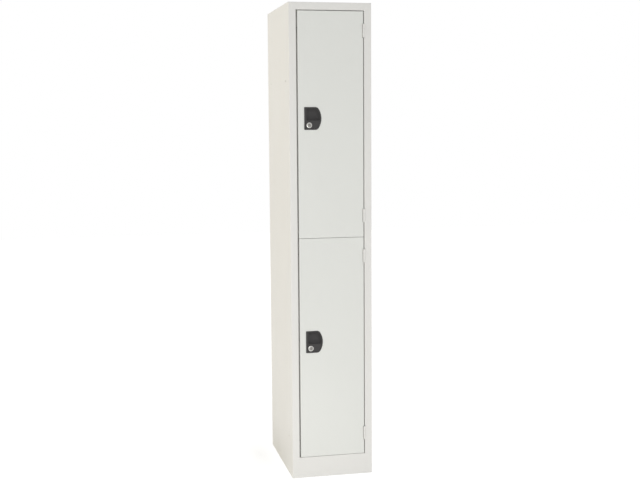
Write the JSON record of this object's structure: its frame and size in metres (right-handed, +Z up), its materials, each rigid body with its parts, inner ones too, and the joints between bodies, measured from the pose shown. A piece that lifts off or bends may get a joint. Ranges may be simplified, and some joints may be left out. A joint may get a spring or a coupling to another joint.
{
  "type": "two-door locker",
  "caption": "Tall narrow steel locker with inset doors stacked one above the other, each with a black D-shaped finger pull and a cam lock.",
  "frame": {"origin": "middle of the footprint, on the floor, with the hinge barrels counted in its depth", "axes": "+Z up, -Y towards the doors, +X to the right as seen from the front, on the hinge side"},
  "size_m": [0.311, 0.4625, 1.78],
  "materials": {
    "cabinet_paint": "satin powder coat, very light grey",
    "door_paint": "satin powder coat, very light grey",
    "interior_paint": "satin powder coat inside the cabinet",
    "pull_plastic": "fine-grained charcoal moulding",
    "lock_chrome": "bright nickel plate",
    "lock_plug_metal": "satin die-cast plug",
    "zinc_plated_steel": "bright zinc plate",
    "buffer_rubber": "matt moulded rubber"
  },
  "bodies": {
    "cabinet": {"left_side_panel": "cabinet_paint", "right_side_panel": "cabinet_paint", "back_panel": "interior_paint", "top_panel": "cabinet_paint", "plinth_front": "cabinet_paint", "bottom_shelf": "interior_paint", "middle_shelf": "interior_paint", "upper_coat_hook": "zinc_plated_steel", "lower_coat_hook": "zinc_plated_steel", "upper_door_top_buffer": "buffer_rubber", "upper_door_bottom_buffer": "buffer_rubber", "lower_door_top_buffer": "buffer_rubber", "lower_door_bottom_buffer": "buffer_rubber", "upper_door_top_hinge_frame_leaf": "cabinet_paint", "upper_door_top_hinge_pin": "zinc_plated_steel", "upper_door_bottom_hinge_frame_leaf": "cabinet_paint", "upper_door_bottom_hinge_pin": "zinc_plated_steel", "lower_door_top_hinge_frame_leaf": "cabinet_paint", "lower_door_top_hinge_pin": "zinc_plated_steel", "lower_door_bottom_hinge_frame_leaf": "cabinet_paint", "lower_door_bottom_hinge_pin": "zinc_plated_steel"},
    "upper_door": {"upper_door_panel": "door_paint", "upper_door_stiffener": "interior_paint", "upper_door_top_hinge_door_leaf": "cabinet_paint", "upper_door_bottom_hinge_door_leaf": "cabinet_paint", "upper_finger_pull": "pull_plastic", "upper_lock_housing": "lock_chrome", "upper_lock_nut": "zinc_plated_steel"},
    "upper_latch": {"upper_lock_plug": "lock_plug_metal", "upper_lock_cam": "zinc_plated_steel", "upper_cam_screw": "zinc_plated_steel"},
    "lower_door": {"lower_door_panel": "door_paint", "lower_door_stiffener": "interior_paint", "lower_door_top_hinge_door_leaf": "cabinet_paint", "lower_door_bottom_hinge_door_leaf": "cabinet_paint", "lower_finger_pull": "pull_plastic", "lower_lock_housing": "lock_chrome", "lower_lock_nut": "zinc_plated_steel"},
    "lower_latch": {"lower_lock_plug": "lock_plug_metal", "lower_lock_cam": "zinc_plated_steel", "lower_cam_screw": "zinc_plated_steel"}
  },
  "joints": [
    {"name": "upper_door_hinge", "type": "hinge", "parent": "cabinet", "child": "upper_door", "pos_m": [0.1264, -0.22675, 1.3326], "axis": [0, 0, 1], "range_deg": [0, 170]},
    {"name": "lower_door_hinge", "type": "hinge", "parent": "cabinet", "child": "lower_door", "pos_m": [0.1264, -0.22675, 0.4972], "axis": [0, 0, 1], "range_deg": [0, 170]},
    {"name": "upper_lock_turn", "type": "hinge", "parent": "upper_door", "child": "upper_latch", "pos_m": [-0.0811, -0.22575, 1.3339], "axis": [0, 1, 0], "range_deg": [0, 90]},
    {"name": "lower_lock_turn", "type": "hinge", "parent": "lower_door", "child": "lower_latch", "pos_m": [-0.0811, -0.22575, 0.4985], "axis": [0, 1, 0], "range_deg": [0, 90]}
  ]
}
